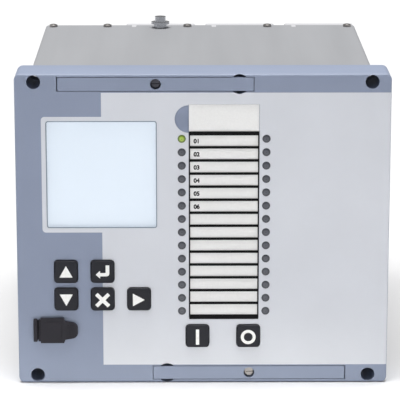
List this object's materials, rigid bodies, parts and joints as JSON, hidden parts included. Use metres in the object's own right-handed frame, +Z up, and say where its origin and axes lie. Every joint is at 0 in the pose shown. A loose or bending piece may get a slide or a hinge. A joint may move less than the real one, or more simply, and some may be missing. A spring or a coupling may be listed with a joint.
{
  "type": "protection relay",
  "caption": "Flush-mounting protection relay: sheet-metal case with rear terminal blocks, withdrawable element with display, indicators, keys, USB cover and swing-out handles.",
  "frame": {"origin": "centre of the four panel fixing holes, on the back face of the case flange where it meets the panel", "axes": "+Z up, +Y back through the panel along the case, +X to the right seen from the front"},
  "size_m": [0.2074, 0.242, 0.177],
  "materials": {
    "zinc_sheet": "zinc-coated sheet, soft satin",
    "bright_steel": "bright zinc plating",
    "pale_plastic": "pale grey moulding",
    "tinned_brass": "tinned",
    "black_plastic": "matt black moulding",
    "green_plastic": "green plug-in terminal",
    "fascia_blue_grey": "fine-textured blue-grey moulding",
    "light_panel": "satin printed panel",
    "clear_window": "clear window",
    "lcd": "pale blue-white display",
    "white_card": "plain card",
    "smoked_lens": "unlit lens",
    "green_lens": "lit lens",
    "circuit_board": "solder mask",
    "led_chip": "milky",
    "dark_rubber": "matt",
    "chassis_sheet": "bare sheet",
    "core_steel": "varnished laminations",
    "coil_copper": "taped winding",
    "relay_blue": "sealed relay",
    "capacitor_sleeve": "sleeved can",
    "key_black": "satin black"
  },
  "bodies": {
    "case": {"case_shell": "zinc_sheet", "rear_plate": "zinc_sheet", "rear_screws": "bright_steel", "terminal_block_1": "pale_plastic", "terminal_block_2": "pale_plastic", "terminal_block_3": "pale_plastic", "terminal_screws": "tinned_brass", "comms_plate": "zinc_sheet", "ethernet_jacks": "black_plastic", "serial_terminal": "green_plastic", "earth_screw": "bright_steel", "earth_washer": "bright_steel", "earth_nut": "bright_steel", "clinch_nuts": "bright_steel", "slide_rails": "black_plastic"},
    "element": {"fascia": "fascia_blue_grey", "fascia_corners": "fascia_blue_grey", "fascia_overlay": "light_panel", "lcd_window": "clear_window", "lcd_panel": "lcd", "label_card": "white_card", "label_frame": "black_plastic", "led_lenses": "smoked_lens", "led_lens_lit": "green_lens", "display_board": "circuit_board", "indicator_leds": "led_chip", "tact_switches": "black_plastic", "usb_socket": "bright_steel", "usb_insulator": "black_plastic", "usb_cover_anchor": "dark_rubber", "chassis_front_plate": "chassis_sheet", "chassis_side_left": "chassis_sheet", "chassis_side_right": "chassis_sheet", "cross_rails": "chassis_sheet", "chassis_fasteners": "bright_steel", "power_board": "circuit_board", "processor_board": "circuit_board", "relay_board": "circuit_board", "analogue_board": "circuit_board", "board_headers": "black_plastic", "rear_plugs": "black_plastic", "transformer_cores": "core_steel", "transformer_coils": "coil_copper", "output_relays": "relay_blue", "capacitors": "capacitor_sleeve", "processor_chips": "black_plastic", "handle_pins": "bright_steel"},
    "handle_bottom": {"handle_bottom": "fascia_blue_grey"},
    "handle_top": {"handle_top": "fascia_blue_grey"},
    "key_cancel": {"key_cancel": "key_black"},
    "key_close": {"key_close": "key_black"},
    "key_down": {"key_down": "key_black"},
    "key_enter": {"key_enter": "key_black"},
    "key_open": {"key_open": "key_black"},
    "key_right": {"key_right": "key_black"},
    "key_up": {"key_up": "key_black"},
    "release_screw_bottom": {"release_screw_bottom": "bright_steel"},
    "release_screw_top": {"release_screw_top": "bright_steel"},
    "usb_cover": {"usb_cover": "dark_rubber"}
  },
  "joints": [
    {"name": "element_slide", "type": "slide", "parent": "case", "child": "element", "axis": [0, -1, 0], "range_m": [0, 0.15]},
    {"name": "handle_top_hinge", "type": "hinge", "parent": "element", "child": "handle_top", "pos_m": [-0.076, -0.0242, 0.08285], "axis": [0, 0, -1], "range_deg": [0, 90]},
    {"name": "handle_bottom_hinge", "type": "hinge", "parent": "element", "child": "handle_bottom", "pos_m": [0.076, -0.0242, -0.08285], "axis": [0, 0, 1], "range_deg": [0, 90]},
    {"name": "release_screw_top_turn", "type": "hinge", "parent": "element", "child": "release_screw_top", "pos_m": [-0.02605, -0.02, 0.08285], "axis": [0, 1, 0], "continuous": true},
    {"name": "release_screw_bottom_turn", "type": "hinge", "parent": "element", "child": "release_screw_bottom", "pos_m": [0.02605, -0.02, -0.08285], "axis": [0, 1, 0], "continuous": true},
    {"name": "usb_cover_hinge", "type": "hinge", "parent": "element", "child": "usb_cover", "pos_m": [-0.0915, -0.0296, -0.0575], "axis": [0, 0, -1], "range_deg": [0, 100]},
    {"name": "key_up_press", "type": "slide", "parent": "element", "child": "key_up", "axis": [0, 1, 0], "range_m": [0, 0.001], "stiffness_N_per_m": 1200},
    {"name": "key_enter_press", "type": "slide", "parent": "element", "child": "key_enter", "axis": [0, 1, 0], "range_m": [0, 0.001], "stiffness_N_per_m": 1200},
    {"name": "key_down_press", "type": "slide", "parent": "element", "child": "key_down", "axis": [0, 1, 0], "range_m": [0, 0.001], "stiffness_N_per_m": 1200},
    {"name": "key_cancel_press", "type": "slide", "parent": "element", "child": "key_cancel", "axis": [0, 1, 0], "range_m": [0, 0.001], "stiffness_N_per_m": 1200},
    {"name": "key_right_press", "type": "slide", "parent": "element", "child": "key_right", "axis": [0, 1, 0], "range_m": [0, 0.001], "stiffness_N_per_m": 1200},
    {"name": "key_close_press", "type": "slide", "parent": "element", "child": "key_close", "axis": [0, 1, 0], "range_m": [0, 0.001], "stiffness_N_per_m": 1200},
    {"name": "key_open_press", "type": "slide", "parent": "element", "child": "key_open", "axis": [0, 1, 0], "range_m": [0, 0.001], "stiffness_N_per_m": 1200}
  ]
}
